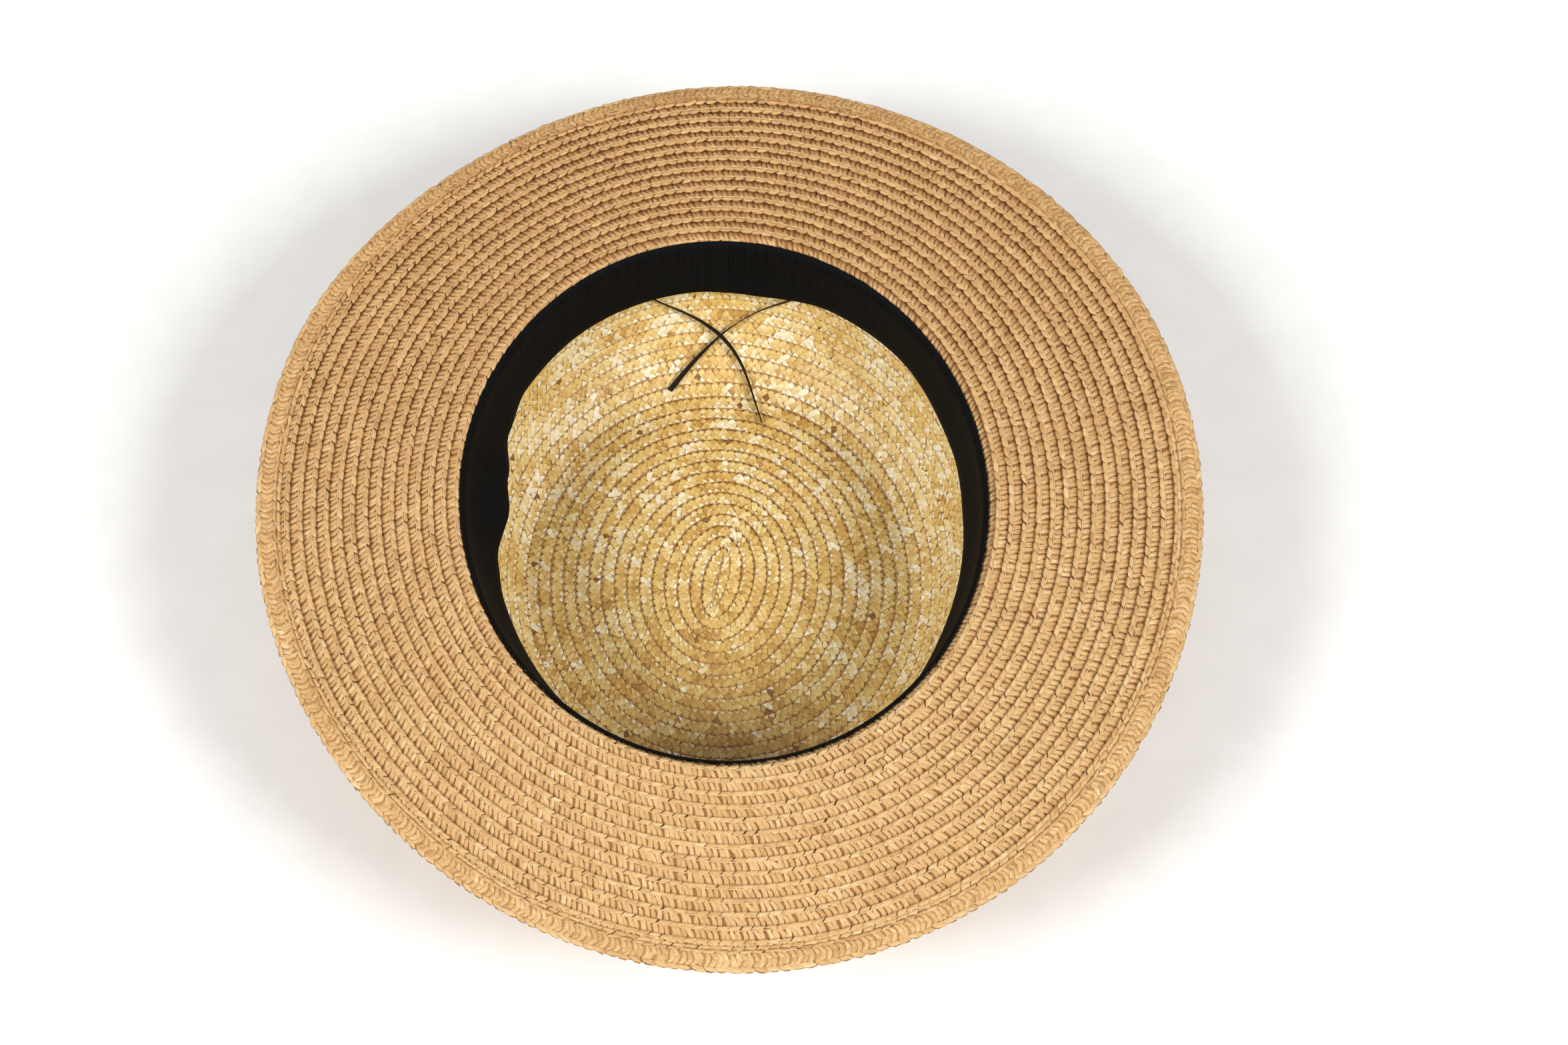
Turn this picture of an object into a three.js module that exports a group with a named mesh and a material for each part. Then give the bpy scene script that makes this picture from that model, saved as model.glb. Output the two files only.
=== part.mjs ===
// Straw hat lying on the tip of its crown with the brim up.
// Millimetres, +Z up, +Y towards the back of the hat, origin on the surface under the middle of the brim.
import * as THREE from 'three';

// Driving sizes
const headlineHeight = 60; // upper face of the brim at its roll, above the surface that the crown lies on
const crownThickness = 2;
const brimThickness = 2;
const bandThickness = 1;
const seamGap = 0.3; // clearance between pieces that are sewn together
const collarGap = 0.5; // clearance between the collar and the crown, which closes a little on its way down

// Ovals seen from above: half sizes, centre, and turn of the long axis in degrees
const opening = { halfWidth: 84.3, halfLength: 95.7, centreX: -2.4, centreY: 0.6, yaw: 4.1 };
const rim = { halfWidth: 151.7, halfLength: 163.2, centreX: 0, centreY: 0, yaw: 0 };
const tip = { halfWidth: 63.5, halfLength: 71, centreX: -3.7, centreY: -2.5, yaw: 4.1 };
const tipStart = { centreX: -3.4, centreY: -9 }; // where the spiral of straw begins

// Brim: a rolled inner edge with a short collar, shingled rows of braid, and a full-width row at the rim
const rollRadius = 5;
const collarDepth = 8.5;
const brimRows = 13;
const rimRowWidth = 7;
const rowStep = 0.6; // height of the edge that each row lays over the next row in
const edgeLift = 0.6; // rim above the headline, averaged round
const saddleLift = 3.2; // sides of the rim rise by this, front and back fall by it

// Waves of the rim: how far it stands out from its oval at each angle, in degrees from +X towards +Y
const rimWaves = [
  { angle: 30, out: 0.5 },
  { angle: 85, out: 0.7 },
  { angle: 125, out: -1.6 },
  { angle: 162, out: 1.3 },
  { angle: 185, out: 0.8 },
  { angle: 230, out: -1 },
  { angle: 295, out: 0.7 },
  { angle: 345, out: -0.6 },
];

// Crown: wall from the rim down to the flat tip as one curve between the two ovals
const crownDepth = 58; // headline to the inside of the tip
const crownRimDepth = 4.1;
const wallControls = [
  { share: 0, depth: 30 },
  { share: 0.52, depth: crownDepth },
];

// Sweatband: top edge lies on the roll, free edge hangs in the crown
const bandDepth = 24;
const bandTopTurn = 45; // degrees round the roll, from the collar
const bandEase = 1.4; // how late the band leaves the wall on its way down

// Waves of the sweatband: how far its free edge stands in from the opening at each angle
const bandWaves = [
  { angle: 0, standOff: 5.9 },
  { angle: 20, standOff: 4.2 },
  { angle: 45, standOff: 2 },
  { angle: 62, standOff: 2.4 },
  { angle: 82, standOff: 5.4 },
  { angle: 98, standOff: 4.4 },
  { angle: 125, standOff: 4 },
  { angle: 146, standOff: 4.6 },
  { angle: 157, standOff: 7 },
  { angle: 168, standOff: 11.5 },
  { angle: 177, standOff: 13.6 },
  { angle: 190, standOff: 9.4 },
  { angle: 200, standOff: 8.5 },
  { angle: 240, standOff: 7 },
  { angle: 270, standOff: 6 },
  { angle: 310, standOff: 5.5 },
  { angle: 335, standOff: 6.6 },
];

// Size tape: its two loose ends, from behind the sweatband down the back wall to where they are cut
const tapeDiameter = 1.2;
const tapeLeftRoute = [
  [-32, 90.4, 40.6],
  [-30.5, 90.2, 37.6],
  [-28.3, 90.2, 34.6],
  [-26, 90, 31.7],
  [-21, 90.3, 28.9],
  [-16, 90.2, 26.2],
  [-12.4, 89, 23.8],
  [-9, 87.9, 22.2],
  [-6, 86.4, 20.3],
  [-3.3, 85.2, 18.4],
  [-1.3, 84, 16.1],
  [0.4, 82.9, 13.7],
  [3.2, 80.8, 10.6],
  [4.8, 77.9, 7.7],
  [5.9, 74.8, 5.5],
  [7.1, 71.3, 3.9],
  [8.1, 68.2, 3.2],
  [9.4, 63.1, 3.2],
  [10.6, 59.1, 3.2],
];
const tapeRightRoute = [
  [24.8, 89.8, 39.1],
  [23.7, 89.7, 36.8],
  [22.4, 89.5, 34.6],
  [18.9, 89.7, 31.7],
  [16.1, 90.2, 30.7],
  [12.9, 90.3, 28.9],
  [9.5, 90.2, 26.9],
  [5.9, 89.6, 24.2],
  [2, 88.5, 21],
  [-0.8, 87.6, 19.2],
  [-3.3, 86.7, 17.5],
  [-5.8, 85.2, 15.2],
  [-8, 83.6, 13.2],
  [-10.4, 82.1, 11.5],
  [-12.7, 80.5, 10],
  [-15, 78.3, 8.2],
  [-17.3, 76, 6.7],
  [-19.4, 73.7, 5.4],
  [-21.5, 71.2, 4.4],
];

// Facets
const roundSteps = 48;
const bandRoundSteps = 72;
const wallSteps = 12;
const rollSteps = 3;
const bandRollSteps = 3;
const bandDropSteps = 3;
const tapeSides = 8;
const tapeSteps = 24;

// Finishes
const finishes = {
  straw: { color: 0xd9b878, roughness: 0.45, metalness: 0 },
  paperBraid: { color: 0xcda06a, roughness: 0.75, metalness: 0 },
  ribbon: { color: 0x121210, roughness: 0.8, metalness: 0 },
  tape: { color: 0x2e231a, roughness: 0.7, metalness: 0 },
};

const { lerp, degToRad, euclideanModulo, smoothstep } = THREE.MathUtils;
const upward = new THREE.Vector3(0, 0, 1);

// Value of a table's column at an angle in degrees, eased between the rows on either side
function columnAt(table, column, degrees) {
  const angle = euclideanModulo(degrees, 360);
  const next = table.findIndex((row) => row.angle > angle);
  const after = table.at(next === -1 ? 0 : next);
  const before = table.at(next === -1 ? -1 : next - 1);
  const span = euclideanModulo(after.angle - before.angle, 360);
  const share = euclideanModulo(angle - before.angle, 360) / span;
  return lerp(before[column], after[column], smoothstep(share, 0, 1));
}

// Point of an oval grown outward, at a height; the angle is in degrees from +X
function ovalPoint(oval, degrees, outward, height) {
  const turn = degToRad(degrees - oval.yaw);
  const point = new THREE.Vector3(
    (oval.halfWidth + outward) * Math.cos(turn),
    (oval.halfLength + outward) * Math.sin(turn),
    height,
  );
  point.applyAxisAngle(upward, degToRad(oval.yaw));
  return point.add(new THREE.Vector3(oval.centreX, oval.centreY, 0));
}

// Ring of points round the hat, from a function of the angle in degrees
function ring(steps, pointAt) {
  return Array.from({ length: steps }, (_, step) => pointAt((360 * step) / steps));
}

// Closed skin through rings, each joined to the next; a ring of one point closes an end
function skin(rings, looped) {
  const corners = [];
  const joins = looped ? rings.length : rings.length - 1;
  for (let join = 0; join < joins; join += 1) {
    const here = rings[join];
    const there = rings[(join + 1) % rings.length];
    const steps = Math.max(here.length, there.length);
    for (let step = 0; step < steps; step += 1) {
      const next = step + 1;
      const quad = [
        here[step % here.length],
        there[step % there.length],
        there[next % there.length],
        here[next % here.length],
      ];
      if (there.length > 1) corners.push(quad[0], quad[1], quad[2]);
      if (here.length > 1) corners.push(quad[0], quad[2], quad[3]);
    }
  }
  const geometry = new THREE.BufferGeometry().setFromPoints(corners);
  geometry.computeVertexNormals();
  return geometry;
}

function piece(name, geometry, finish) {
  const mesh = new THREE.Mesh(geometry, new THREE.MeshStandardMaterial(finish));
  mesh.name = name;
  return mesh;
}

// Crown

const crownRimGrowth = brimThickness + collarGap; // the crown's wall stands just outside the brim's collar
const crownRim = {
  ...opening,
  halfWidth: opening.halfWidth + crownRimGrowth,
  halfLength: opening.halfLength + crownRimGrowth,
};

function mixOvals(from, to, share) {
  const mixed = {};
  for (const key of Object.keys(from)) mixed[key] = lerp(from[key], to[key], share);
  return mixed;
}

// The wall's curve: x runs from the rim's oval (0) to the tip's (1), y is the depth below the headline
const wallCurve = new THREE.CubicBezierCurve(
  new THREE.Vector2(0, crownRimDepth),
  new THREE.Vector2(wallControls[0].share, wallControls[0].depth),
  new THREE.Vector2(wallControls[1].share, wallControls[1].depth),
  new THREE.Vector2(1, crownDepth),
);
const wallInset = crownRim.halfWidth - tip.halfWidth;

// Ring of the crown's wall at a place on its curve, moved out of the hollow by a thickness
function crownRing(place, thickness) {
  const at = wallCurve.getPoint(place);
  const along = wallCurve.getTangent(place);
  const slope = new THREE.Vector2(-along.x * wallInset, along.y).normalize();
  const oval = mixOvals(crownRim, tip, at.x);
  const height = headlineHeight - at.y + thickness * slope.x;
  return ring(roundSteps, (degrees) => ovalPoint(oval, degrees, thickness * slope.y, height));
}

function crownGeometry() {
  const insideFloor = headlineHeight - crownDepth;
  const places = Array.from({ length: wallSteps + 1 }, (_, step) => step / wallSteps);
  const inside = places.map((place) => crownRing(place, 0)).reverse();
  const outside = places.map((place) => crownRing(place, crownThickness));
  const insideMiddle = new THREE.Vector3(tipStart.centreX, tipStart.centreY, insideFloor);
  const outsideMiddle = insideMiddle.clone().setZ(insideFloor - crownThickness);
  return skin([[insideMiddle], ...inside, ...outside, [outsideMiddle]], false);
}

// Brim

// Point of the brim at a share of the way from the roll to the rim, by its rise above the mean upper face
function brimPoint(degrees, share, rise) {
  const from = ovalPoint(opening, degrees, rollRadius, 0);
  const to = ovalPoint(rim, degrees, columnAt(rimWaves, 'out', degrees), 0);
  const lift = edgeLift + saddleLift * Math.cos(degToRad(2 * degrees));
  const height = headlineHeight + lift * share * share + rise;
  return from.lerp(to, share).setZ(height);
}

// Shares at which the rows of braid meet, the last one being the rim
function rowShares() {
  const sideWidth = rim.halfWidth - opening.halfWidth - rollRadius;
  const endWidth = rim.halfLength - opening.halfLength - rollRadius;
  const lastRow = 1 - rimRowWidth / lerp(sideWidth, endWidth, 0.5);
  const inner = Array.from({ length: brimRows + 1 }, (_, row) => (lastRow * row) / brimRows);
  return [...inner, 1];
}

// Rings of one face of the brim, row by row outward: each row starts high and slopes down under the next
function brimFace(drop) {
  const shares = rowShares();
  const rings = [];
  for (let row = 0; row < shares.length - 1; row += 1) {
    const high = row === 0 ? 0 : rowStep / 2;
    rings.push(ring(roundSteps, (degrees) => brimPoint(degrees, shares[row], high - drop)));
    rings.push(ring(roundSteps, (degrees) => brimPoint(degrees, shares[row + 1], -rowStep / 2 - drop)));
  }
  return rings;
}

// Rings round the rolled edge, from the collar up to the flat of the brim
function rollRings(radius) {
  const rings = [];
  for (let step = 0; step < rollSteps; step += 1) {
    const turn = ((Math.PI / 2) * step) / rollSteps;
    const outward = rollRadius - radius * Math.cos(turn);
    const height = headlineHeight - rollRadius + radius * Math.sin(turn);
    rings.push(ring(roundSteps, (degrees) => ovalPoint(opening, degrees, outward, height)));
  }
  return rings;
}

function collarRing(outward) {
  return ring(roundSteps, (degrees) => ovalPoint(opening, degrees, outward, headlineHeight - collarDepth));
}

// Rings of one face of the brim from the collar's edge to the rim, a depth under the upper face
function brimSide(depth) {
  return [collarRing(depth), ...rollRings(rollRadius - depth), ...brimFace(depth)];
}

function brimGeometry() {
  return skin([...brimSide(0), ...brimSide(brimThickness).reverse()], true);
}

// Sweatband

// Point of one face of the band on the roll, a number of degrees round it from the collar
function bandRollPoint(degrees, turn, clearance) {
  const radius = rollRadius + clearance;
  const outward = rollRadius - radius * Math.cos(degToRad(turn));
  const height = headlineHeight - rollRadius + radius * Math.sin(degToRad(turn));
  return ovalPoint(opening, degrees, outward, height);
}

// Point of one face of the band below the roll, a share of the way down to the free edge
function bandDropPoint(degrees, share, clearance) {
  const standOff = columnAt(bandWaves, 'standOff', degrees) - bandThickness - seamGap;
  const outward = -clearance - standOff * share ** bandEase;
  const height = headlineHeight - lerp(rollRadius, bandDepth, share);
  return ovalPoint(opening, degrees, outward, height);
}

// Rings of one face of the band from its free edge up to its sewn edge
function bandFace(clearance) {
  const rings = [];
  for (let step = bandDropSteps; step > 0; step -= 1) {
    const share = step / bandDropSteps;
    rings.push(ring(bandRoundSteps, (degrees) => bandDropPoint(degrees, share, clearance)));
  }
  for (let step = 0; step <= bandRollSteps; step += 1) {
    const turn = (bandTopTurn * step) / bandRollSteps;
    rings.push(ring(bandRoundSteps, (degrees) => bandRollPoint(degrees, turn, clearance)));
  }
  return rings;
}

function sweatbandGeometry() {
  const front = bandFace(seamGap + bandThickness);
  const back = bandFace(seamGap);
  return skin([...front, ...back.reverse()], true);
}

// Size tape

function tapeGeometry(route) {
  const path = new THREE.CatmullRomCurve3(route.map((point) => new THREE.Vector3(...point)));
  const section = new THREE.Shape();
  section.setFromPoints(
    Array.from({ length: tapeSides }, (_, side) => {
      const turn = (2 * Math.PI * side) / tapeSides;
      return new THREE.Vector2(Math.cos(turn), Math.sin(turn)).multiplyScalar(tapeDiameter / 2);
    }),
  );
  return new THREE.ExtrudeGeometry(section, { steps: tapeSteps, extrudePath: path, bevelEnabled: false });
}

const hat = new THREE.Group();
hat.add(piece('crown', crownGeometry(), finishes.straw));
hat.add(piece('brim', brimGeometry(), finishes.paperBraid));
hat.add(piece('sweatband', sweatbandGeometry(), finishes.ribbon));
hat.add(piece('size_tape_left', tapeGeometry(tapeLeftRoute), finishes.tape));
hat.add(piece('size_tape_right', tapeGeometry(tapeRightRoute), finishes.tape));

export default hat;
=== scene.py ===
"""Looks of a straw hat that lies on the tip of its crown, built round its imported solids, in metres."""
import math

import bpy
import numpy as np
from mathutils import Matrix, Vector


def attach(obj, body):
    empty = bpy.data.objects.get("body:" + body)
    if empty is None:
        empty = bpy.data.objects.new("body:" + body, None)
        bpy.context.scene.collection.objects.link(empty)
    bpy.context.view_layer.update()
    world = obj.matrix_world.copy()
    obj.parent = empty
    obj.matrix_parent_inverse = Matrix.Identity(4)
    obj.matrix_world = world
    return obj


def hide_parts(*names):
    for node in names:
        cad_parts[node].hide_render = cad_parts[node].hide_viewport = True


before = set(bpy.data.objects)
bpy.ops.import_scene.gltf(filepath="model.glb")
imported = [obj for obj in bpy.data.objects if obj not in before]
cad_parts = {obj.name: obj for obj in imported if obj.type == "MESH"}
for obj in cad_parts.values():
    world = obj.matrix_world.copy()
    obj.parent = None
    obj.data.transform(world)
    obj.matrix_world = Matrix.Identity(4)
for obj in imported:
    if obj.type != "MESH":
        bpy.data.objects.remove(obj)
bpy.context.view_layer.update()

MM = 0.001
FULL_TURN = 360

# Shape of the hat. An oval is its half width, half length, centre x, centre y and turn in radians
HEADLINE = 60 * MM
HEAD_TURN = math.radians(4.1)
OPENING = np.array([84.3 * MM, 95.7 * MM, -2.4 * MM, 0.6 * MM, HEAD_TURN])
RIM = np.array([151.7 * MM, 163.2 * MM, 0, 0, 0])
TIP = np.array([63.5 * MM, 71 * MM, -3.7 * MM, -2.5 * MM, HEAD_TURN])
TIP_START = np.array([0, 8.5 * MM, -4.3 * MM, -2 * MM, math.radians(-10)])
ROLL_RADIUS = 5 * MM
EDGE_LIFT = 0.6 * MM
SADDLE_LIFT = 3.2 * MM
CROWN_RIM_GROWTH = 2.5 * MM
CROWN_RIM = OPENING + np.array([CROWN_RIM_GROWTH, CROWN_RIM_GROWTH, 0, 0, 0])
CROWN_DEPTH = 58 * MM
CROWN_RIM_DEPTH = 4.1 * MM

# Curve of the crown's wall: share of the way from the rim's oval to the tip's, and depth below the headline
WALL_CURVE = np.array([
    [0, CROWN_RIM_DEPTH],
    [0, 30 * MM],
    [0.52, CROWN_DEPTH],
    [1, CROWN_DEPTH],
])

# Waves of the rim: angle in degrees from +X towards +Y, and how far the rim stands out from its oval
RIM_WAVES = [
    (30, 0.5 * MM),
    (85, 0.7 * MM),
    (125, -1.6 * MM),
    (162, 1.3 * MM),
    (185, 0.8 * MM),
    (230, -1 * MM),
    (295, 0.7 * MM),
    (345, -0.6 * MM),
]

# Waves of the sweatband: angle, and how far its free edge stands in from the opening
BAND_WAVES = [
    (0, 5.9 * MM),
    (20, 4.2 * MM),
    (45, 2 * MM),
    (62, 2.4 * MM),
    (82, 5.4 * MM),
    (98, 4.4 * MM),
    (125, 4 * MM),
    (146, 4.6 * MM),
    (157, 7 * MM),
    (168, 11.5 * MM),
    (177, 13.6 * MM),
    (190, 9.4 * MM),
    (200, 8.5 * MM),
    (240, 7 * MM),
    (270, 6 * MM),
    (310, 5.5 * MM),
    (335, 6.6 * MM),
]


# Camera, at the photograph's place

PHOTO_SIZE = (2352, 1568)
PHOTO_TARGET_PIXEL = (1092, 735)
PHOTO_FOCAL_PIXELS = 4650
CAMERA_TARGET = Vector((-1.13 * MM, 0, HEADLINE))
CAMERA_DISTANCE = 1.0
CAMERA_TILT = math.radians(29.4)
CAMERA_PLACE = CAMERA_TARGET + CAMERA_DISTANCE * Vector((0, -math.sin(CAMERA_TILT), math.cos(CAMERA_TILT)))
SENSOR_WIDTH = 36


def add_camera():
    lens = bpy.data.cameras.new("camera")
    lens.sensor_width = SENSOR_WIDTH
    lens.lens = SENSOR_WIDTH * PHOTO_FOCAL_PIXELS / PHOTO_SIZE[0]
    lens.shift_x = (PHOTO_SIZE[0] / 2 - PHOTO_TARGET_PIXEL[0]) / PHOTO_SIZE[0]
    lens.shift_y = (PHOTO_TARGET_PIXEL[1] - PHOTO_SIZE[1] / 2) / PHOTO_SIZE[0]
    camera = bpy.data.objects.new("camera", lens)
    camera.location = CAMERA_PLACE
    camera.rotation_euler = (CAMERA_TILT, 0, 0)
    bpy.context.scene.collection.objects.link(camera)
    bpy.context.scene.camera = camera


# Finishes

STITCH_LENGTH = 0.75 * MM


def paint(hex_code):
    """Linear colour of a code such as d9b07a."""
    parts = [int(hex_code[i:i + 2], 16) / 255 for i in (0, 2, 4)]
    linear = [p / 12.92 if p <= 0.04045 else ((p + 0.055) / 1.055) ** 2.4 for p in parts]
    return (*linear, 1)


class Wire:
    """An output in a finish's nodes; arithmetic on wires and numbers adds the Math nodes for it."""

    def __init__(self, finish, socket):
        self.finish = finish
        self.socket = socket

    def maths(self, operation, first, second):
        return self.finish.node("ShaderNodeMath", {"operation": operation}, {0: first, 1: second})

    def __add__(self, other):
        return self.maths("ADD", self, other)

    def __radd__(self, other):
        return self.maths("ADD", other, self)

    def __sub__(self, other):
        return self.maths("SUBTRACT", self, other)

    def __rsub__(self, other):
        return self.maths("SUBTRACT", other, self)

    def __mul__(self, other):
        return self.maths("MULTIPLY", self, other)

    def __rmul__(self, other):
        return self.maths("MULTIPLY", other, self)

    def __pow__(self, other):
        return self.maths("POWER", self, other)

    def __rpow__(self, other):
        return self.maths("POWER", other, self)


class Finish:
    """A material under construction, with its shader and one way to add a node."""

    def __init__(self, name):
        self.material = bpy.data.materials.new(name)
        self.material.use_nodes = True
        self.tree = self.material.node_tree
        self.shader = self.tree.nodes["Principled BSDF"]

    def node(self, kind, settings=None, sockets=None, output=0):
        """Adds a node, its settings first and then its sockets' values or wires; gives one output's wire."""
        node = self.tree.nodes.new(kind)
        for key, value in (settings or {}).items():
            if key == "stops":
                self.set_stops(node.color_ramp, value)
            else:
                setattr(node, key, value)
        self.join(node, sockets or {})
        return Wire(self, node.outputs[output])

    def set_stops(self, ramp, stops):
        while len(ramp.elements) < len(stops):
            ramp.elements.new(1)
        for element, (place, colour) in zip(ramp.elements, stops):
            element.position = place
            element.color = colour

    def join(self, node, sockets):
        for key, value in sockets.items():
            if isinstance(value, Wire):
                self.tree.links.new(value.socket, node.inputs[key])
            else:
                node.inputs[key].default_value = value

    def attribute(self, name, output="Fac"):
        return self.node("ShaderNodeAttribute", {"attribute_name": name}, output=output)

    def stretched(self, vector, scale):
        return self.node("ShaderNodeVectorMath", {"operation": "MULTIPLY"}, {0: vector, 1: scale})

    def noise(self, vector, scale):
        return self.node("ShaderNodeTexNoise", None, {"Vector": vector, "Scale": scale, "Detail": 2})

    def streaks(self, strand, along, across):
        """Noise with so many streaks in a metre along a strand and across it."""
        return self.noise(self.stretched(strand, (along, across, 1)), 1)

    def ramp(self, factor, stops):
        return self.node("ShaderNodeValToRGB", {"stops": stops}, {"Fac": factor})

    def mix(self, factor, first, second, blend="MIX"):
        settings = {"data_type": "RGBA", "blend_type": blend}
        return self.node("ShaderNodeMix", settings, {0: factor, 6: first, 7: second}, output=2)

    def bump(self, height, strength, distance):
        sockets = {"Height": height, "Strength": strength, "Distance": distance}
        return self.node("ShaderNodeBump", None, sockets, output="Normal")

    def shade(self, **sockets):
        """Sets the shader's sockets, whose names are written with _ for a space."""
        self.join(self.shader, {key.replace("_", " "): value for key, value in sockets.items()})
        return self.material


def paper_braid_finish():
    """Twisted paper: tan strands of differing tones with fine fibres. Its pale specks are painted glints, and
    its brown low in the braid, between strands and towards the back of the hat is painted shade.
    """
    finish = Finish("paper_braid")
    tone = finish.attribute("tone")
    hollow = finish.attribute("hollow")
    strand = finish.attribute("strand", "Vector")
    fibres = finish.streaks(strand, 500, 3200)
    patches = finish.streaks(strand, 220, 420)
    specks = finish.noise(strand, 3500)
    stops = [(0, paint("b98b56")), (0.35, paint("d0a56b")), (0.7, paint("e0b982")), (1, paint("eed3a3"))]
    colour = finish.ramp(0.7 * tone + 1.1 * (fibres - 0.5) + 0.5 * (patches - 0.5) + 0.14, stops)
    # Painted glints: pale specks scattered over the paper.
    pale = finish.ramp(specks, [(0.62, paint("000000")), (0.74, paint("ffffff"))])
    colour = finish.mix(0.4 * pale, colour, paint("f3e3bf"))
    # Painted shade: dark brown at the strands' feet, between them and towards each row's outer edge.
    colour = finish.mix(hollow ** 2.4 * 0.85, colour, paint("8a5526"))
    return finish.shade(
        Base_Color=colour,
        Roughness=0.52 + 0.2 * fibres,
        Specular_IOR_Level=0.4,
        Normal=finish.bump(fibres + patches, 0.9, 0.0005),
    )


def thread_finish():
    """Pale sewing thread, whose stitches show as a row of dots; the dots' pale colour is partly the thread's
    own and partly painted glints.
    """
    finish = Finish("sewing_thread")
    strand = finish.attribute("strand", "Vector")
    along = finish.node("ShaderNodeSeparateXYZ", None, {0: strand}, output="X")
    wave = finish.node("ShaderNodeMath", {"operation": "SINE"}, {0: along * (2 * math.pi / STITCH_LENGTH)})
    uneven = finish.streaks(strand, 700, 1)
    # Painted glints: the palest stop brightens the stitches' dots.
    stops = [(0.2, paint("c09a66")), (0.6, paint("dcc090")), (1, paint("f6e9cb"))]
    colour = finish.ramp(0.4 + 0.25 * wave + 1.2 * (uneven - 0.45), stops)
    return finish.shade(Base_Color=colour, Roughness=0.4 + 0.2 * uneven, Specular_IOR_Level=0.5)


def straw_finish():
    """Split wheat straw: glossy strips from pale cream through gold to tan, streaked along their length. Its
    brown where strands dip under one another is painted shade, and its whitest runs are partly painted
    highlight.
    """
    finish = Finish("straw")
    tone = finish.attribute("tone")
    hollow = finish.attribute("hollow")
    strand = finish.attribute("strand", "Vector")
    streaks = finish.streaks(strand, 260, 2200)
    blotches = finish.streaks(strand, 700, 1100)
    stops = [
        (0, paint("7d552a")),
        (0.14, paint("ad7e3e")),
        (0.36, paint("cd9f50")),
        (0.58, paint("e2be6e")),
        (0.76, paint("eed48f")),
        (0.95, paint("faf0d1")),
    ]
    colour = finish.ramp(tone + 0.5 * (streaks - 0.5) + 0.4 * (blotches - 0.5), stops)
    # Painted shade: darker gold-brown where the straws dip under one another and between them.
    colour = finish.mix(hollow ** 1.6 * 0.9, colour, paint("8a5a1c"))
    return finish.shade(
        Base_Color=colour,
        Roughness=0.22 + 0.3 * streaks,
        Specular_IOR_Level=0.6,
        Normal=finish.bump(streaks + 1.5 * blotches, 0.7, 0.0004),
    )


def edge_thread_finish(length):
    """Thin brown thread along the folded edge of each row of straw, which turns paler up the crown's wall."""
    finish = Finish("edge_thread")
    strand = finish.attribute("strand", "Vector")
    along = finish.node("ShaderNodeSeparateXYZ", None, {0: strand}, output="X")
    uneven = finish.streaks(strand, 900, 1)
    colour = finish.ramp(uneven, [(0.3, paint("8f643a")), (0.5, paint("b48756")), (0.75, paint("dab88a"))])
    up_wall = finish.ramp(along * (1 / length), [(0.3, paint("000000")), (0.6, paint("ffffff"))])
    colour = finish.mix(0.75 * up_wall, colour, paint("d8b573"))
    return finish.shade(Base_Color=colour, Roughness=0.5 + 0.2 * uneven, Specular_IOR_Level=0.3)


def ribbon_finish():
    """Black ribbed ribbon, with a faint sheen on its ribs painted as a lighter colour."""
    finish = Finish("ribbon")
    rib = finish.attribute("rib")
    weave = finish.attribute("strand", "Vector")
    threads = finish.streaks(weave, 4000, 900)
    uneven = finish.streaks(weave, 1100, 45)
    # Painted sheen: ribs and threads are coloured lighter, and the black leans blue against the straw's warm
    # bounce light.
    shown = 0.5 * rib + 0.3 * threads + 0.8 * (uneven - 0.4)
    colour = finish.ramp(shown, [(0.2, paint("010101")), (0.8, paint("0e1013"))])
    return finish.shade(
        Base_Color=colour,
        Roughness=0.62 + 0.2 * threads,
        Specular_IOR_Level=0.1,
        Normal=finish.bump(threads, 0.3, 0.0001),
    )


def tape_finish():
    """Narrow dark brown woven tape."""
    finish = Finish("size_tape")
    weave = finish.attribute("strand", "Vector")
    threads = finish.streaks(weave, 1500, 6000)
    colour = finish.ramp(threads, [(0.2, paint("120c07")), (0.8, paint("2b2017"))])
    return finish.shade(
        Base_Color=colour,
        Roughness=0.7 + 0.15 * threads,
        Specular_IOR_Level=0.15,
        Normal=finish.bump(threads, 0.4, 0.0001),
    )


def floor_finish():
    finish = Finish("pale_floor")
    place = finish.node("ShaderNodeTexCoord", output="Object")
    grain = finish.noise(place, 60)
    colour = finish.ramp(grain, [(0.3, paint("f4f3f1")), (0.7, paint("f8f7f5"))])
    return finish.shade(Base_Color=colour, Roughness=0.8)


# Surfaces that the braids follow


def round_table(table, degrees):
    """Value of a table of angles and values at each angle, eased between the rows on either side."""
    angles, values = np.array(table, float).T
    angle = np.mod(degrees, FULL_TURN)
    after = np.searchsorted(angles, angle, side="right") % len(angles)
    before = after - 1
    span = np.mod(angles[after] - angles[before], FULL_TURN)
    share = np.mod(angle - angles[before], FULL_TURN) / span
    return values[before] + (values[after] - values[before]) * share * share * (3 - 2 * share)


def oval_points(oval, degrees, grown=0.0):
    """Points of an oval seen from above, grown outward."""
    half_width, half_length, centre_x, centre_y, turned = np.moveaxis(np.asarray(oval), -1, 0)
    angle = np.radians(degrees) - turned
    wide = (half_width + grown) * np.cos(angle)
    long = (half_length + grown) * np.sin(angle)
    x = centre_x + wide * np.cos(turned) - long * np.sin(turned)
    y = centre_y + wide * np.sin(turned) + long * np.cos(turned)
    return np.stack([x, y], -1)


BRIM_WIDTH = float(np.mean((RIM - OPENING)[:2])) - ROLL_RADIUS
ROLL_LENGTH = ROLL_RADIUS * math.pi / 2


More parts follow.
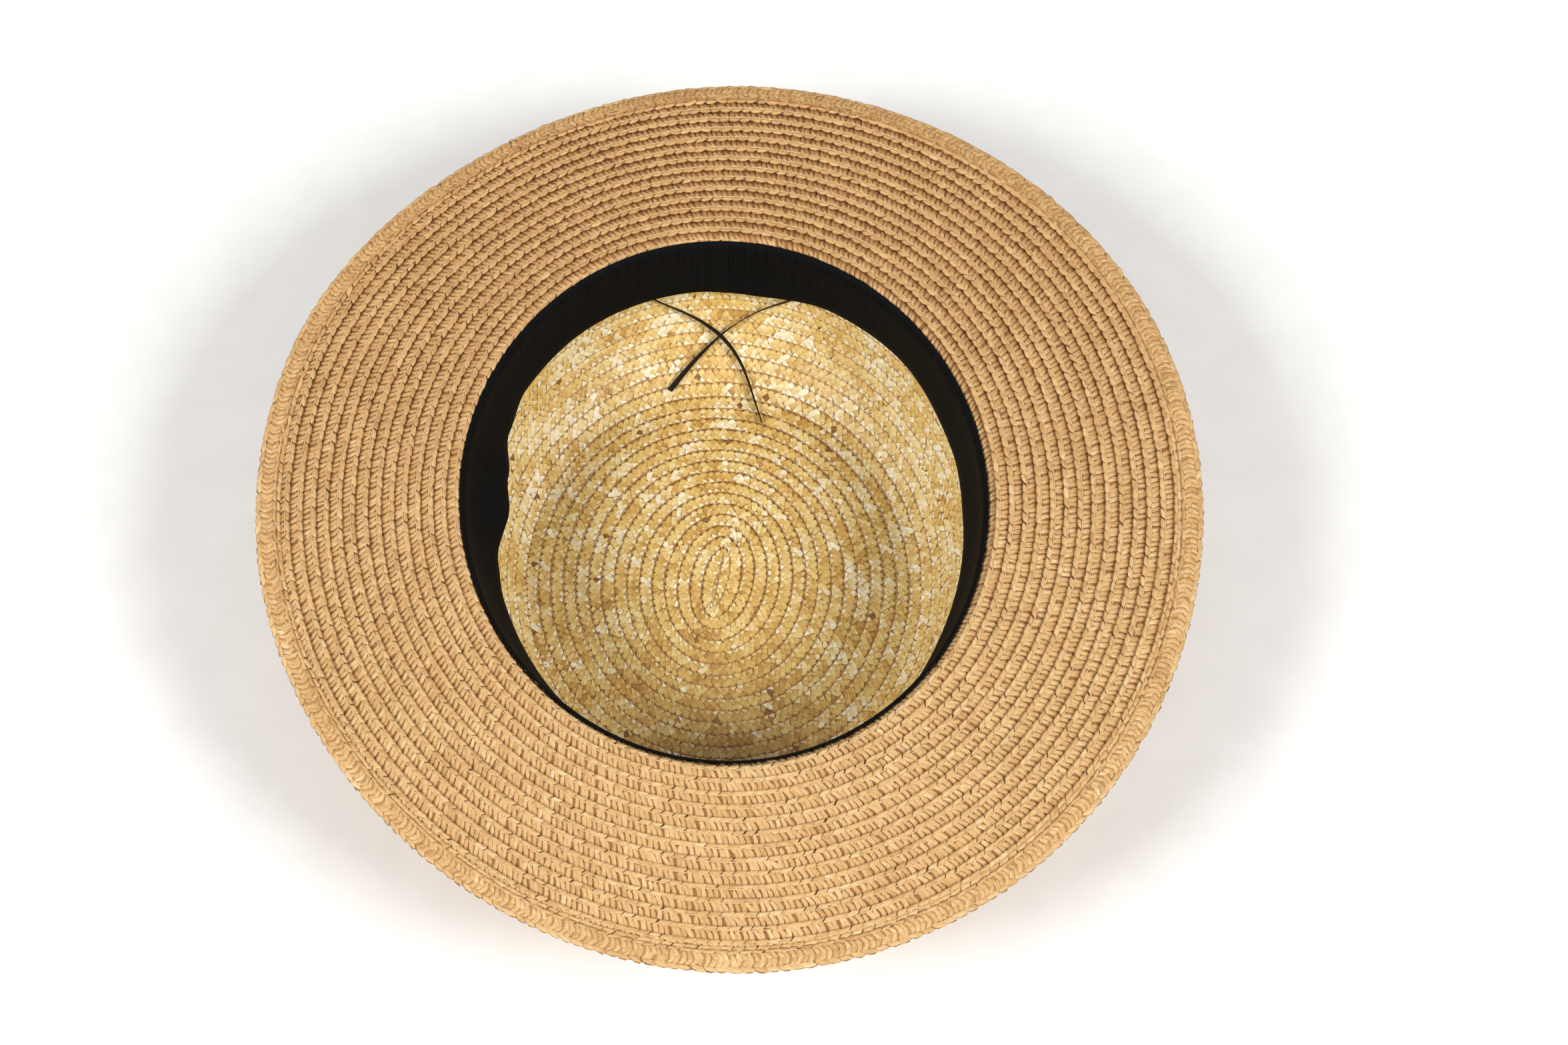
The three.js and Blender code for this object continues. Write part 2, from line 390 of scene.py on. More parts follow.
def brim_surface(degrees, distance):
    """Upper face of the brim, by the distance outward from where its roll meets its flat."""
    share = np.maximum(distance, 0) / BRIM_WIDTH
    turn = np.clip((ROLL_LENGTH + distance) / ROLL_RADIUS, 0, math.pi / 2)
    inner = oval_points(OPENING, degrees, ROLL_RADIUS * (1 - np.cos(turn)))
    outer = oval_points(RIM, degrees, round_table(RIM_WAVES, degrees))
    plan = inner + (outer - inner) * share[..., None]
    lift = (EDGE_LIFT + SADDLE_LIFT * np.cos(2 * np.radians(degrees))) * share ** 2
    collar = np.minimum(ROLL_LENGTH + distance, 0)
    height = HEADLINE - ROLL_RADIUS * (1 - np.sin(turn)) + collar + lift
    return np.concatenate([plan, height[..., None]], -1)


TIP_REACH = float(np.mean((TIP - TIP_START)[:2]))


def wall_profile(samples=200):
    """Tables of the wall from the tip's edge up to its rim: length so far, share and depth."""
    place = np.linspace(1, 0, samples)[:, None]
    weights = [(1 - place) ** 3, 3 * place * (1 - place) ** 2, 3 * place ** 2 * (1 - place), place ** 3]
    curve = sum(weight * point for weight, point in zip(weights, WALL_CURVE))
    inset = np.mean((CROWN_RIM - TIP)[:2])
    steps = np.hypot(np.diff(curve[:, 0]) * inset, np.diff(curve[:, 1]))
    length = np.concatenate([[0], np.cumsum(steps)])
    return length, curve[:, 0], curve[:, 1]


WALL_LENGTHS, WALL_SHARES, WALL_DEPTHS = wall_profile()
CROWN_REACH = TIP_REACH + WALL_LENGTHS[-1]


def crown_surface(degrees, distance):
    """Inside of the crown, by the distance from the middle of its tip, over the tip and up the wall."""
    up = distance - TIP_REACH
    share = np.interp(up, WALL_LENGTHS, WALL_SHARES)[..., None]
    past_rim = np.maximum(up - WALL_LENGTHS[-1], 0)
    depth = np.interp(up, WALL_LENGTHS, WALL_DEPTHS) - past_rim
    flat = np.minimum(distance / TIP_REACH, 1)[..., None]
    oval = TIP_START + (TIP - TIP_START) * flat + (CROWN_RIM - TIP) * (1 - share)
    plan = oval_points(oval, degrees)
    return np.concatenate([plan, (HEADLINE - depth)[..., None]], -1)


# Braids sewn into a spiral


class SewnBraid:
    """A braid sewn round and round on a surface; finds points along it, across it and above its middle."""

    def __init__(self, surface, spiral, turns, profile, start_angle):
        self.surface = surface
        self.spiral = spiral
        self.profile = np.array(profile, float).T * MM
        self.width = self.profile[0, -1]
        self.start_angle = start_angle
        self.turns = np.linspace(*turns, int((turns[1] - turns[0]) * FULL_TURN) + 1)
        middle = self.at_turn(self.turns, np.full(self.turns.shape, self.width / 2), 0)
        steps = np.linalg.norm(np.diff(middle, axis=0), axis=1)
        self.lengths = np.concatenate([[0], np.cumsum(steps)])
        self.length = self.lengths[-1]

    def at_turn(self, turn, across, height):
        degrees = self.start_angle + FULL_TURN * turn
        distance = self.spiral(turn) + across
        small_step = 0.2 * MM
        small_turn = 0.2
        outward = self.surface(degrees, distance + small_step) - self.surface(degrees, distance - small_step)
        beside = distance + 2 * small_step
        onward = self.surface(degrees + small_turn, beside) - self.surface(degrees - small_turn, beside)
        normal = np.cross(outward, onward)
        normal /= np.linalg.norm(normal, axis=-1, keepdims=True)
        rise = np.interp(across, *self.profile) + height
        return self.surface(degrees, distance) + normal * rise[..., None]

    def at(self, along, across, height):
        return self.at_turn(np.interp(along, self.lengths, self.turns), across, height)

    def degrees(self, along):
        return self.start_angle + FULL_TURN * np.interp(along, self.lengths, self.turns)


class Mesh:
    """Vertices, faces and per-vertex tables gathered from many small parts, then made into one piece."""

    def __init__(self):
        self.points = []
        self.corners = []
        self.sizes = []
        self.smooth = []
        self.tables = {}
        self.count = 0

    def add(self, points, corners, sizes, smooth, **tables):
        self.points.append(points)
        self.corners.append(corners + self.count)
        self.sizes.append(sizes)
        self.smooth.append(smooth)
        for name, values in tables.items():
            self.tables.setdefault(name, []).append(values)
        self.count += len(points)

    def piece(self, name, material):
        points = np.concatenate(self.points)
        corners = np.concatenate(self.corners)
        sizes = np.concatenate(self.sizes)
        starts = np.concatenate([[0], np.cumsum(sizes)[:-1]])
        mesh = bpy.data.meshes.new(name)
        mesh.vertices.add(len(points))
        mesh.vertices.foreach_set("co", points.astype(np.float32).ravel())
        mesh.loops.add(len(corners))
        mesh.loops.foreach_set("vertex_index", corners.astype(np.int32))
        mesh.polygons.add(len(sizes))
        mesh.polygons.foreach_set("loop_start", starts.astype(np.int32))
        mesh.polygons.foreach_set("use_smooth", np.concatenate(self.smooth))
        for table, parts in self.tables.items():
            self.write_table(mesh, table, np.concatenate(parts).astype(np.float32))
        mesh.update(calc_edges=True)
        mesh.validate()
        mesh.materials.append(material)
        made = bpy.data.objects.new(name, mesh)
        bpy.context.scene.collection.objects.link(made)
        return made

    def write_table(self, mesh, table, values):
        flat = values.ndim == 1
        attribute = mesh.attributes.new(table, "FLOAT" if flat else "FLOAT_VECTOR", "POINT")
        attribute.data.foreach_set("value" if flat else "vector", values.ravel())


def tube_faces(rings, sides):
    """Corners and sizes of the faces that join rings of points into a tube closed at both ends."""
    ring, side = np.meshgrid(np.arange(rings - 1), np.arange(sides), indexing="ij")
    here = (ring * sides + side).ravel()
    beside = (ring * sides + (side + 1) % sides).ravel()
    quads = np.stack([here, beside, beside + sides, here + sides], 1).ravel()
    first = np.arange(sides)[::-1]
    last = np.arange(sides) + (rings - 1) * sides
    sizes = np.concatenate([np.full(len(here), 4), [sides, sides]])
    return np.concatenate([quads, first, last]), sizes


CORE_TONE = 0.3
CORE_EDGE = 0.25 * MM


def add_core(mesh, braid, reach, half_thickness, step, hollow):
    """Flat core of a braid that its strands lie on, over a stretch of its length, painted in shade so that it
    shows dark between the strands.
    """
    rings = max(2, int((reach[1] - reach[0]) / step))
    quarters = np.array([0.25, 0.5, 0.75]) * braid.width
    across = np.concatenate([[CORE_EDGE], quarters, [braid.width - CORE_EDGE], quarters[::-1]])
    height = np.array([0, 1, 1, 1, 0, -1, -1, -1]) * half_thickness
    sides = len(across)
    along = np.repeat(np.linspace(*reach, rings), sides)
    points = braid.at(along, np.tile(across, rings), np.tile(height, rings))
    corners, sizes = tube_faces(rings, sides)
    none = np.zeros(len(points))
    strand = np.stack([along, np.tile(across, rings), none], 1)
    mesh.add(points, corners, sizes, sizes == 4, tone=none + CORE_TONE, hollow=none + hollow, strand=strand)


class Strand:
    """One kind of strand in a braid, given in mm: its spacing, crest, slope, grain and corners."""

    def __init__(self, spacing, crest, slope, grain, corners):
        self.spacing = spacing * MM
        self.crest = crest * MM
        self.slope = np.array(slope)
        self.grain = np.array(grain) / math.hypot(*grain)
        self.corners = np.array(corners) * MM

    def drawn_in(self, inset):
        """The outline with every side moved inward."""
        side = self.corners - np.roll(self.corners, 1, axis=0)
        side /= np.linalg.norm(side, axis=1, keepdims=True)
        inward = np.stack([-side[:, 1], side[:, 0]], 1)
        leaving = np.roll(inward, -1, axis=0)
        spread = 1 + np.sum(inward * leaving, axis=1, keepdims=True)
        return self.corners + inset * (inward + leaving) / spread


def mound_faces(rings, sides):
    """Faces of a closed mound: walls between rings of corners from its foot up, then its top and its foot."""
    ring, side = np.meshgrid(np.arange(rings - 1), np.arange(sides), indexing="ij")
    here = (ring * sides + side).ravel()
    beside = (ring * sides + (side + 1) % sides).ravel()
    walls = np.stack([here, here + sides, beside + sides, beside], 1)
    top = np.arange(sides)[::-1] + (rings - 1) * sides
    foot = np.arange(sides)
    sizes = np.concatenate([np.full(len(walls), 4), [sides, sides]])
    return np.concatenate([walls.ravel(), top, foot]), sizes


# How much strands of one kind differ in size and in the height of their crest
SIZE_UNEVENNESS = 0.07
CREST_UNEVENNESS = 0.12


def add_strands(mesh, braid, reach, strand, face, look, tones, rng):
    """Strands of one kind along a stretch of a braid, on its upper face (1) or its under face (-1)."""
    count = round((reach[1] - reach[0]) / strand.spacing)
    middle = reach[0] + np.arange(count) * strand.spacing
    middle = middle + rng.normal(0, look["unevenness"], count)
    outlines = [strand.drawn_in(inset) for inset, lift in look["rounding"]]
    outline = np.concatenate(outlines)
    lifts = np.repeat([lift for inset, lift in look["rounding"]], len(strand.corners))
    centre = outline.mean(axis=0)
    size = look["spread"] * (1 + rng.normal(0, SIZE_UNEVENNESS, count))[:, None, None]
    turned = rng.normal(0, look["turned"], count)[:, None, None]
    crossed = (outline - centre)[:, ::-1] * (-1, 1)
    placed = centre + (outline - centre + crossed * turned) * size
    lean = (strand.slope + rng.normal(0, look["lean"], (count, 2)))[:, None]
    rise = 1 + rng.normal(0, CREST_UNEVENNESS, count)[:, None]
    height = look["foot"] + lifts * (strand.crest * rise + np.sum((outline - centre) * lean, axis=2))
    along = middle[:, None] + placed[..., 0]
    across = placed[..., 1] if face > 0 else braid.width - placed[..., 1]
    points = braid.at(along.ravel(), across.ravel(), face * height.ravel())
    corners, sizes = mound_faces(len(outlines), len(strand.corners))
    first = np.arange(count)[:, None] * len(outline)
    sidelong = np.array([-strand.grain[1], strand.grain[0]])
    fibre = np.stack([(outline - centre) @ strand.grain, (outline - centre) @ sidelong, lifts * 0], 1)
    fibre = fibre + rng.uniform(0, 1, (count, 1, 3))
    # Painted shade: strands darken at their feet and by their place across the braid, and, where a look asks,
    # more towards the back of the hat.
    shaded = np.interp(outline[:, 1] / MM, *np.array(look["shaded"], float).T)
    back_shade_factor = 1 + look["shade_deeper_at_back"] * np.sin(np.radians(braid.degrees(middle)))
    hollow = np.maximum(look["foot_shade"] * (1 - lifts), np.minimum(shaded * back_shade_factor[:, None], 1))
    flat_faces = 2 if look["flat_top"] else 1
    smooth = np.arange(len(sizes)) < len(sizes) - flat_faces
    mesh.add(
        points,
        (corners + first).ravel(),
        np.tile(sizes, count),
        np.tile(smooth, count),
        tone=np.repeat(tones(middle) + look["paler"], len(outline)),
        hollow=hollow.ravel(),
        strand=fibre.reshape(-1, 3),
    )


def thread_piece(name, material, braid, reach, step, thread, rng):
    """A thin thread that follows a braid, as a ridge with three sides."""
    rings = int((reach[1] - reach[0]) / step)
    sides = 3
    along = np.repeat(np.linspace(*reach, rings), sides)
    places = thread["across"] + np.tile([-1, 0, 1], rings) * thread["half"]
    wander = np.repeat(rng.normal(0, thread["wander"], rings), sides)
    heights = thread["height"] + np.tile([-1, 1, -1], rings) * thread["half"] + wander
    corners, sizes = tube_faces(rings, sides)
    mesh = Mesh()
    strand = np.stack([along, places, along * 0], 1)
    mesh.add(braid.at(along, places, heights), corners, sizes, sizes == 4, strand=strand)
    return mesh.piece(name, material)


def ride_as(piece, node):
    """The piece hangs from the hat's root and stands for a node of the hat, whose imported solid it hides."""
    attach(piece, "root")
    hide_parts(node)
    return piece


# Brim: paper braid sewn into a spiral, each row's inner edge over the row before, and a row along the rim

BRIM_START_ANGLE = 120
BRIM_ROW_PITCH = 4.27 * MM
BRIM_FIRST_EDGE = -9 * MM
RIM_ROW_EDGE = BRIM_WIDTH - 6.9 * MM
LAST_ROW_EDGE = RIM_ROW_EDGE - 1.1 * MM
BRIM_TURNS = (LAST_ROW_EDGE - BRIM_FIRST_EDGE) / BRIM_ROW_PITCH + 1

# Height in mm of a row's middle above the brim's face, by the distance in mm from the row's inner edge
BRIM_ROW_PROFILE = [(0, -0.8), (0.25, -0.15), (0.5, 0), (1.5, -0.4), (4.3, -1.28), (6.8, -1.8)]
RIM_ROW_PROFILE = [(0, -0.35), (0.5, 0.05), (1.5, 0.05), (6, -0.5), (6.8, -0.9)]
BRAID_WIDTH = BRIM_ROW_PROFILE[-1][0]
BRIM_CORE_HALF = 0.28 * MM
BRIM_CORE_STEP = 4.5 * MM
# Painted shade of the brim's cores where they show between strands, from 0 for none to 1 for the darkest
BRIM_CORE_SHADE = 1
RIM_CORE_SHADE = 0.8
BRIM_SEED = 100
STITCHING_SEED = 110
RIM_ROW_SEED = 120

# Strands of the brim's braid, in mm: a wrap starts a little under its lozenge and is a share of its height
LOZENGE_SPACING = 3.66
LOZENGE_WIDTH = 1.5
WRAP_TUCK = 0.05
WRAP_CREST_SHARE = 0.9
WRAP_END = 4.8
STRAND_CREST = 0.38
RIM_LOZENGE_WIDTH = 1.45
RIM_WRAP_END = 3.6
RIM_STRAND_CREST = 0.24


def paper_strands(wide, end, crest):
    """Strands of one repeat: a slanted lozenge on the braid's edge, then two curved wraps to their end."""
    middle = (wide + end) / 2
    start = wide - WRAP_TUCK
    wrap_crest = WRAP_CREST_SHARE * crest
    return {
        "lozenge": Strand(
            LOZENGE_SPACING, crest, (0.1, 0), (1, 0),
            [(-1.25, 0.25), (-0.1, 0), (1.5, 0), (2.3, 0.35), (1.15, wide), (-2.4, wide)],
        ),
        "first_wrap": Strand(
            LOZENGE_SPACING, wrap_crest, (0.14, 0), (0.6, 2),
            [(-2, start), (-0.5, start), (0.45, middle), (0.55, end), (-0.95, end), (-1.05, middle)],
        ),
        "second_wrap": Strand(
            LOZENGE_SPACING, wrap_crest, (0.14, 0), (0.6, 2),
            [(-0.35, start), (1.4, start), (2.2, middle), (2.35, end), (0.75, end), (0.65, middle)],
        ),
    }


BRIM_STRANDS = paper_strands(LOZENGE_WIDTH, WRAP_END, STRAND_CREST)
RIM_STRANDS = paper_strands(RIM_LOZENGE_WIDTH, RIM_WRAP_END, RIM_STRAND_CREST)


def other_half(strand):
    """The same strand on the outer half of the brim's braid."""
    corners = strand.corners[::-1] / MM
    corners = np.stack([corners[:, 0], BRAID_WIDTH - corners[:, 1]], 1)
    flipped = (1, -1)
    slope = strand.slope * flipped
    grain = strand.grain * flipped
    return Strand(strand.spacing / MM, strand.crest / MM, slope, grain, corners)


# Looks of the paper strands; shaded is their painted shade, how brown they are by the distance in mm across
# the braid, and for most rows it grows towards the back of the hat. Their feet get painted shade as well.
UPPER_PAPER = {
    "spread": 1.04, "paler": 0, "foot": 0.24 * MM, "unevenness": 0.14 * MM, "turned": 0.07, "lean": 0.08,
    "flat_top": False, "foot_shade": 0.7, "shade_deeper_at_back": 0.5,
    "rounding": [(0, 0), (0.1 * MM, 0.6), (0.4 * MM, 1)],
    "shaded": [(1.8, 0), (2.4, 0.3), (3.4, 0.65), (4.6, 0.85)],
}
UPPER_WRAPS = {
    **UPPER_PAPER, "spread": 1.12, "unevenness": 0.2 * MM, "turned": 0.14, "lean": 0.12, "foot_shade": 0.6,
    "rounding": [(0, 0), (0.25 * MM, 1)],
}
UNDER_PAPER = {**UPPER_PAPER, "rounding": [(0, 0), (0.2 * MM, 1)]}
RIM_PAPER = {
    **UPPER_WRAPS, "turned": 0.1, "foot_shade": 0.5, "shade_deeper_at_back": 0,
    "shaded": [(0.3, 1), (0.6, 0.7), (1.4, 0)],
}


def plain_side(strand):
    """The strand without the corners in the middle of its long sides, where it has them."""
    corners = strand.corners / MM
    ends = np.isclose(corners[:, 1], corners[:, 1].min()) | np.isclose(corners[:, 1], corners[:, 1].max())
    kept = corners[ends] if ends.sum() == 4 else corners
    return Strand(strand.spacing / MM, strand.crest / MM, strand.slope, strand.grain, kept)


# Sewing thread: its place across a row, its height, half its thickness and how far it wanders up and down
BRIM_THREAD = {"across": 1.6 * MM, "height": 0.5 * MM, "half": 0.27 * MM, "wander": 0.055 * MM}

# Turns of the braid that lie under the sweatband, with no lozenges or stitches
HIDDEN_TURNS = 0.9

# Tones of the paper, from 0 for dark to 1 for pale: what each place and chance adds to the mean. What the
# place adds is painted shade, darkest at the back of the hat and a little paler at the front.
PAPER_TONE = {"mean": 0.43, "back": -0.19, "shade_front_and_back": -0.13, "drift": 0.2, "chance": 0.15}
PAPER_DRIFT_LENGTH = 45 * MM


def whole_repeats(lengths, spacing):
    """Lengths along a braid moved to the nearest whole number of repeats."""
    return np.round(np.array(lengths) / spacing) * spacing


def slow_noise(rng, wavelength, terms=6):
    """A function that gives smooth random values along a braid, mostly between -0.6 and 0.6."""
    waves = [(rng.uniform(0, 2 * math.pi), wavelength * rng.uniform(0.5, 2)) for _ in range(terms)]
    return lambda along: sum(np.sin(2 * math.pi * along / length + phase) for phase, length in waves) / terms


def paper_tones(rng, braid):
    """Gives a function for the tones of paper strands along a braid, with painted shade that makes them
    darkest at the back of the hat.
    """
    drift = slow_noise(rng, PAPER_DRIFT_LENGTH)

    def tones(along):
        towards_back = np.sin(np.radians(braid.degrees(along)))
        tone = PAPER_TONE["mean"] + PAPER_TONE["back"] * towards_back
        tone = tone + PAPER_TONE["shade_front_and_back"] * np.abs(towards_back) + PAPER_TONE["drift"] * drift(along)
        tone = tone + rng.normal(0, PAPER_TONE["chance"], len(along))
        return np.clip(tone, 0, 1)

    return tones


def brim_spiral(turn):
    return np.minimum(BRIM_FIRST_EDGE + BRIM_ROW_PITCH * turn, LAST_ROW_EDGE)


def rim_row_spiral(turn):
    return np.full(np.shape(turn), RIM_ROW_EDGE)


def make_brim(material):
    braid = SewnBraid(brim_surface, brim_spiral, (0, BRIM_TURNS), BRIM_ROW_PROFILE, BRIM_START_ANGLE)
    names = ("brim_rows_inner", "brim_rows_second", "brim_rows_third", "brim_rows_outer")
    cuts = whole_repeats(np.linspace(0, braid.length, len(names) + 1), LOZENGE_SPACING * MM)
    shown = whole_repeats(np.interp(HIDDEN_TURNS, braid.turns, braid.lengths), LOZENGE_SPACING * MM)
    for number, name in enumerate(names):
        rng = np.random.default_rng(BRIM_SEED + number)
        tones = paper_tones(rng, braid)
        mesh = Mesh()
        reach = (cuts[number], cuts[number + 1])
        add_core(mesh, braid, reach, BRIM_CORE_HALF, BRIM_CORE_STEP, BRIM_CORE_SHADE)
        for kind, strand in BRIM_STRANDS.items():
            start = max(reach[0], shown) if kind == "lozenge" else reach[0]
            look = UPPER_PAPER if kind == "lozenge" else UPPER_WRAPS
            add_strands(mesh, braid, (start, reach[1]), strand, 1, look, tones, rng)
            add_strands(mesh, braid, reach, plain_side(strand), -1, UNDER_PAPER, tones, rng)
        ride_as(mesh.piece(name, material), "brim")
    stitching = thread_piece(
        "brim_stitching", thread_finish(), braid, (shown, braid.length), LOZENGE_SPACING / 2 * MM,
        BRIM_THREAD, np.random.default_rng(STITCHING_SEED),
    )
    ride_as(stitching, "brim")
    make_rim_row(material)


def make_rim_row(material):
    rng = np.random.default_rng(RIM_ROW_SEED)
    row = SewnBraid(brim_surface, rim_row_spiral, (0, 1), RIM_ROW_PROFILE, BRIM_START_ANGLE)
    tones = paper_tones(rng, row)
    mesh = Mesh()
    reach = (0, row.length)
    add_core(mesh, row, reach, BRIM_CORE_HALF, BRIM_CORE_STEP, RIM_CORE_SHADE)
    for strand in RIM_STRANDS.values():
        for half in (strand, other_half(strand)):
            add_strands(mesh, row, reach, half, 1, RIM_PAPER, tones, rng)
            add_strands(mesh, row, reach, plain_side(half), -1, RIM_PAPER, tones, rng)
    ride_as(mesh.piece("brim_rim_row", material), "brim")


# Crown: straw plait sewn into a spiral from the middle of the tip, each row's inner edge over the row before

CROWN_START_ANGLE = 90
CROWN_ROW_PITCH = 4.3 * MM
CROWN_ROW_PROFILE = [(0, -0.42), (0.5, -0.2), (1.6, -0.5), (5.6, -1)]
CROWN_CORE_HALF = 0.18 * MM
CROWN_CORE_STEP = 4 * MM
# Painted shade of the crown's core where it shows between straws
CROWN_CORE_SHADE = 0.8
CROWN_SEED = 200
EDGE_THREAD_SEED = 210
STRAW_SPACING = 2.5
STRAW_STRANDS = {
    "fold": Strand(STRAW_SPACING, 0.19, (0, 0), (1, 1), [(-1.25, 0), (1.25, 0), (0.4, 1.75)]),
    "inner_straw": Strand(
        STRAW_SPACING, 0.18, (0.05, 0), (1, -1.2),
        [(1.25, 0.1), (2.9, 1.75), (1.5, 3.2), (0.4, 1.75)],
    ),
    "outer_straw": Strand(
        STRAW_SPACING, 0.18, (-0.05, 0), (1, 1.2),
        [(0.4, 1.75), (1.5, 3.2), (0.1, 4.7), (-1, 3.2)],
    ),
}
STRAW_LOOK = {
    "spread": 1.12, "foot": 0.16 * MM, "unevenness": 0.12 * MM, "turned": 0.1, "lean": 0.1, "flat_top": True,
    "foot_shade": 0.75, "shade_deeper_at_back": 0,
    "rounding": [(0, 0), (0.09 * MM, 1)],
}
# Painted light and shade by kind: paler lifts the fold on top and darkens the straws that lie under it;
# shaded darkens them where they dip under one another.
STRAW_LOOKS = {
    "fold": {**STRAW_LOOK, "paler": 0.14, "shaded": [(0, 0), (1.75, 0.4)]},
    "inner_straw": {**STRAW_LOOK, "paler": -0.08, "shaded": [(0.1, 0.8), (1.75, 0.2), (3.2, 0)]},
    "outer_straw": {**STRAW_LOOK, "paler": -0.06, "shaded": [(1.75, 0.5), (3.2, 0.05), (4.7, 0.9)]},
}

# Thread along the folded edge of each row of straw, with the brim thread's columns
EDGE_THREAD = {"across": 0.1 * MM, "height": 0.34 * MM, "half": 0.25 * MM, "wander": 0.13 * MM}
CROWN_TURNS = (CROWN_REACH - CROWN_ROW_PROFILE[-1][0] * MM) / CROWN_ROW_PITCH + 1
SHOWN_BEHIND_BAND = 20 * MM

# Tones of the straw, from 0 for brown to 1 for white: what each place, white run and chance adds to the mean.
# What the place adds is painted light and shade: darker at the front, paler at the back, at the sides and up
# the wall. The white runs are partly pale straw and partly painted highlight.
STRAW_TONE = {
    "mean": 0.52, "back": 0.07, "sides": 0.12, "lit_outer_end": 0.13,
    "drift": 0.25, "white_and_glint_run": 0.36, "chance": 0.1,
}
STRAW_DRIFT_LENGTH = 30 * MM
WHITE_AND_GLINT_RUN_LENGTH = 9 * MM
WHITE_AND_GLINT_RUN_START = 0.22
WHITE_AND_GLINT_RUN_SHARPNESS = 2.5
BROWN_SPOT_SHARE = 0.004
BROWN_SPOT_TONE = 0.06
DARKEST_STRAW = 0.12


def straw_tones(rng, braid):
    """Gives a function for the tones of straws along the crown, with painted light and shade by place, white
    runs that are partly painted highlight, and a few brown spots.
    """
    drift = slow_noise(rng, STRAW_DRIFT_LENGTH)
    runs = slow_noise(rng, WHITE_AND_GLINT_RUN_LENGTH)

    def tones(along):
        # White runs: partly pale straw, partly painted highlight.
        white = np.clip(WHITE_AND_GLINT_RUN_SHARPNESS * (runs(along) - WHITE_AND_GLINT_RUN_START), 0, 1)
        angle = np.radians(braid.degrees(along))
        place = STRAW_TONE["back"] * np.sin(angle) + STRAW_TONE["sides"] * np.abs(np.cos(angle))
        place = place + STRAW_TONE["lit_outer_end"] * along / braid.length
        tone = STRAW_TONE["mean"] + place + STRAW_TONE["drift"] * drift(along)
        tone = tone + STRAW_TONE["white_and_glint_run"] * white + rng.normal(0, STRAW_TONE["chance"], len(along))
        brown = rng.uniform(0, 1, len(along)) < BROWN_SPOT_SHARE
        return np.where(brown, BROWN_SPOT_TONE, np.clip(tone, DARKEST_STRAW, 1))

    return tones


def crown_spiral(turn):
    return CROWN_ROW_PITCH * np.maximum(turn - 1, 0)


def make_crown(material):
    braid = SewnBraid(crown_surface, crown_spiral, (0, CROWN_TURNS), CROWN_ROW_PROFILE, CROWN_START_ANGLE)
    ends = [0, TIP_REACH, CROWN_REACH - SHOWN_BEHIND_BAND, CROWN_REACH]
    lengths = np.interp([end / CROWN_ROW_PITCH for end in ends], braid.turns, braid.lengths)
    cuts = whole_repeats(lengths, STRAW_SPACING * MM)
    names = ("crown_tip_rows", "crown_wall_rows", "crown_rim_rows")
    for number, name in enumerate(names):
        rng = np.random.default_rng(CROWN_SEED + number)
        tones = straw_tones(rng, braid)
        mesh = Mesh()
        reach = (cuts[number], cuts[number + 1])
        add_core(mesh, braid, reach, CROWN_CORE_HALF, CROWN_CORE_STEP, CROWN_CORE_SHADE)
        for kind, strand in STRAW_STRANDS.items():
            for face in (1, -1):
                add_strands(mesh, braid, reach, strand, face, STRAW_LOOKS[kind], tones, rng)
        ride_as(mesh.piece(name, material), "crown")
    edges = thread_piece(
        "crown_row_edges", edge_thread_finish(braid.length), braid, (0, braid.length), STRAW_SPACING * MM,
        EDGE_THREAD, np.random.default_rng(EDGE_THREAD_SEED),
    )
    ride_as(edges, "crown")


# Sweatband: ribbed ribbon from the roll down into the crown, with a sewn seam at the back

BAND_DEPTH = 24 * MM
BAND_TOP_TURN = math.radians(45)
BAND_EASE = 1.4
BAND_CLEARANCE = 0.5 * MM
BAND_THICKNESS = 0.55 * MM
BAND_RIBS = 560
RIB_POINTS = 3
RIB_HEIGHT = 0.15 * MM
BAND_SEAM_ANGLE = 88.5
BAND_LAP_DEGREES = 4
BAND_LAP_HEIGHT = 0.45 * MM

# Points of the ribbon's section over the roll, down to its free edge and up its back
BAND_ROLL_POINTS = 5
BAND_DROP_POINTS = 9
BAND_BACK_POINTS = 4

# Round edges of the ribbon: shares of its thickness at the front and back of an edge, and of the ribs there
FRONT_EDGE_SHARE = 0.6
BACK_EDGE_SHARE = 0.4
EDGE_RIB_SHARE = 0.3


def band_face(degrees, down, lift):
    """Points of the ribbon: down runs from its sewn edge (0) over the roll (1) to its free edge (2)."""
    turn = BAND_TOP_TURN * np.clip(1 - down, 0, 1)
    share = np.clip(down - 1, 0, 1)
    radius = ROLL_RADIUS + BAND_CLEARANCE + lift
    stand_off = round_table(BAND_WAVES, degrees) - BAND_THICKNESS - BAND_CLEARANCE
    grown = ROLL_RADIUS - radius * np.cos(turn) - stand_off * share ** BAND_EASE
    plan = oval_points(OPENING, degrees, grown)
    depth = ROLL_RADIUS - radius * np.sin(turn) + (BAND_DEPTH - ROLL_RADIUS) * share
    return np.concatenate([plan, (HEADLINE - depth)[..., None]], -1)


def ribbon_section():
    """Points round the ribbon's section: how far down, how far raised from its back, and how much ribbed."""
    front = np.concatenate([np.linspace(0, 1, BAND_ROLL_POINTS), np.linspace(1, 2, BAND_DROP_POINTS)[1:]])
    back = np.linspace(2, 0, BAND_BACK_POINTS)
    down = np.concatenate([front, back])
    in_front = np.arange(len(down)) < len(front)
    edge = np.isclose(down, 0) | np.isclose(down, 2)
    front_rise = np.where(edge, FRONT_EDGE_SHARE, 1.0)
    back_rise = np.where(edge, BACK_EDGE_SHARE, 0.0)
    raised = np.where(in_front, front_rise, back_rise) * BAND_THICKNESS
    ribbed = np.where(edge, EDGE_RIB_SHARE, 1.0) * in_front
    return down, raised, ribbed


